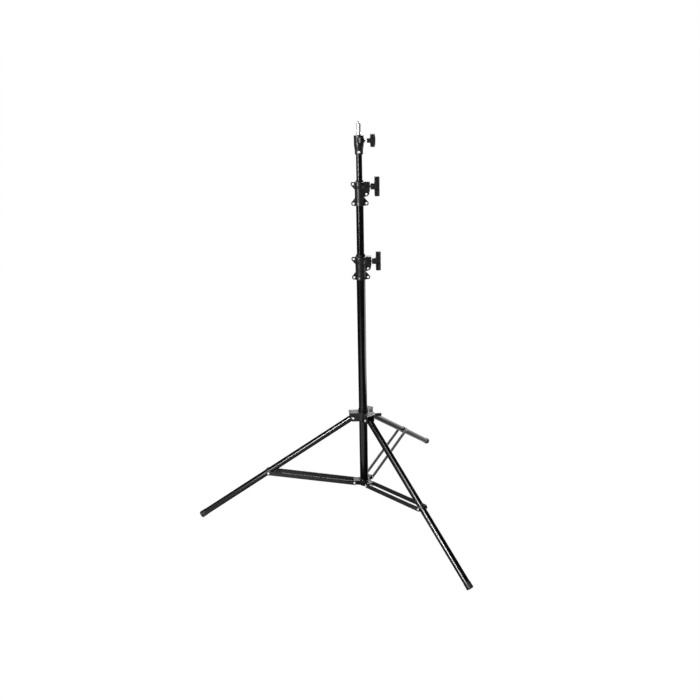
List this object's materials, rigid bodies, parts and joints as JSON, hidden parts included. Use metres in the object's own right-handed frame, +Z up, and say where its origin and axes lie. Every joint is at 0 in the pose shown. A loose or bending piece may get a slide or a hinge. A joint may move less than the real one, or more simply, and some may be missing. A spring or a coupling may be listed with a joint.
{
  "type": "light stand",
  "caption": "Telescopic light stand on three folding braced legs, with clamp collars, T-knobs and a chromed stud on top.",
  "frame": {"origin": "on the floor, under the middle of the footprint box; the column stands at x = 0.1728 m, y = 0", "axes": "+Z up along the column; one leg points to -X, and the clamp knobs point to +X"},
  "size_m": [1.0718, 1.2332, 1.641],
  "materials": {
    "tube": "gloss black painted aluminium tube",
    "casting": "black textured paint on die-cast aluminium",
    "bar": "satin black painted flat bar",
    "knob": "black glass-filled nylon, fine texture",
    "nylon": "black moulded nylon",
    "rubber": "black rubber",
    "steel": "bright zinc-plated steel",
    "chrome": "polished chrome",
    "brass": "machined brass"
  },
  "bodies": {
    "root": {"base_tube": "tube", "bottom_plug": "nylon", "bottom_hub": "casting", "brace_pin_1": "steel", "brace_pin_2": "steel", "brace_pin_3": "steel", "lower_collar": "casting", "lower_collar_bush": "nylon", "lower_clamp_pad": "brass"},
    "mid_section": {"mid_tube": "tube", "mid_foot_bush": "nylon", "upper_collar": "casting", "upper_collar_bush": "nylon", "upper_clamp_pad": "brass"},
    "top_section": {"top_tube": "tube", "top_foot_bush": "nylon", "top_socket": "casting", "socket_rivet": "steel"},
    "stud": {"stud": "chrome"},
    "lower_knob": {"lower_clamp_knob": "knob", "lower_clamp_screw": "steel"},
    "upper_knob": {"upper_clamp_knob": "knob", "upper_clamp_screw": "steel"},
    "socket_knob": {"socket_knob": "knob", "socket_screw": "steel"},
    "hub": {"leg_hub": "casting", "hub_bush": "nylon", "leg_pin_1": "steel", "leg_pin_2": "steel", "leg_pin_3": "steel"},
    "hub_knob": {"hub_lock_knob": "knob", "hub_lock_screw": "steel"},
    "leg_1": {"leg_tube_1": "tube", "leg_insert_1": "nylon", "leg_clip_1": "casting", "foot_cap_1": "rubber"},
    "brace_1": {"brace_bar_1a": "bar", "brace_bar_1b": "bar", "brace_rivet_1a": "steel", "brace_rivet_1b": "steel"},
    "leg_2": {"leg_tube_2": "tube", "leg_insert_2": "nylon", "leg_clip_2": "casting", "foot_cap_2": "rubber"},
    "brace_2": {"brace_bar_2a": "bar", "brace_bar_2b": "bar", "brace_rivet_2a": "steel", "brace_rivet_2b": "steel"},
    "leg_3": {"leg_tube_3": "tube", "leg_insert_3": "nylon", "leg_clip_3": "casting", "foot_cap_3": "rubber"},
    "brace_3": {"brace_bar_3a": "bar", "brace_bar_3b": "bar", "brace_rivet_3a": "steel", "brace_rivet_3b": "steel"}
  },
  "joints": [
    {"name": "leg_spread", "type": "slide", "parent": "root", "child": "hub", "axis": [0, 0, 1], "range_m": [0, 0.49948]},
    {"name": "mid_section_slide", "type": "slide", "parent": "root", "child": "mid_section", "axis": [0, 0, 1], "range_m": [-0.186, 0.585]},
    {"name": "top_section_slide", "type": "slide", "parent": "mid_section", "child": "top_section", "axis": [0, 0, 1], "range_m": [-0.093, 0.66]},
    {"name": "stud_lift", "type": "slide", "parent": "top_section", "child": "stud", "axis": [0, 0, 1], "range_m": [0, 0.036]},
    {"name": "lower_knob_turn", "type": "hinge", "parent": "root", "child": "lower_knob", "pos_m": [0.1728, 0, 1.106], "axis": [1, 0, 0], "range_deg": [0, 450]},
    {"name": "upper_knob_turn", "type": "hinge", "parent": "mid_section", "child": "upper_knob", "pos_m": [0.1728, 0, 1.396], "axis": [1, 0, 0], "range_deg": [0, 450]},
    {"name": "socket_knob_turn", "type": "hinge", "parent": "top_section", "child": "socket_knob", "pos_m": [0.1728, 0, 1.566], "axis": [1, 0, 0], "range_deg": [0, 450]},
    {"name": "hub_knob_turn", "type": "hinge", "parent": "hub", "child": "hub_knob", "pos_m": [0.1728, 0, 0.44867], "axis": [1, 0, 0], "range_deg": [0, 450]},
    {"name": "leg_1_fold", "type": "hinge", "parent": "hub", "child": "leg_1", "pos_m": [0.1308, 0, 0.44367], "axis": [0, -1, 0], "range_deg": [0, 56.66]},
    {"name": "brace_1_fold", "type": "hinge", "parent": "root", "child": "brace_1", "pos_m": [0.1308, 0, 0.141], "axis": [0, 1, 0], "range_deg": [0, 79.99]},
    {"name": "leg_2_fold", "type": "hinge", "parent": "hub", "child": "leg_2", "pos_m": [0.1938, 0.03637, 0.44367], "axis": [-0.866, 0.5, 0], "range_deg": [0, 56.66]},
    {"name": "brace_2_fold", "type": "hinge", "parent": "root", "child": "brace_2", "pos_m": [0.1938, 0.03637, 0.141], "axis": [0.866, -0.5, 0], "range_deg": [0, 79.99]},
    {"name": "leg_3_fold", "type": "hinge", "parent": "hub", "child": "leg_3", "pos_m": [0.1938, -0.03637, 0.44367], "axis": [0.866, 0.5, 0], "range_deg": [0, 56.66]},
    {"name": "brace_3_fold", "type": "hinge", "parent": "root", "child": "brace_3", "pos_m": [0.1938, -0.03637, 0.141], "axis": [-0.866, -0.5, 0], "range_deg": [0, 79.99]}
  ],
  "couplings": [
    {"joint": "leg_1_fold", "follows": "leg_spread", "rad_per_m": 1.9795},
    {"joint": "brace_1_fold", "follows": "leg_spread", "rad_per_m": 2.7946},
    {"joint": "leg_2_fold", "follows": "leg_spread", "rad_per_m": 1.9795},
    {"joint": "brace_2_fold", "follows": "leg_spread", "rad_per_m": 2.7946},
    {"joint": "leg_3_fold", "follows": "leg_spread", "rad_per_m": 1.9795},
    {"joint": "brace_3_fold", "follows": "leg_spread", "rad_per_m": 2.7946}
  ]
}
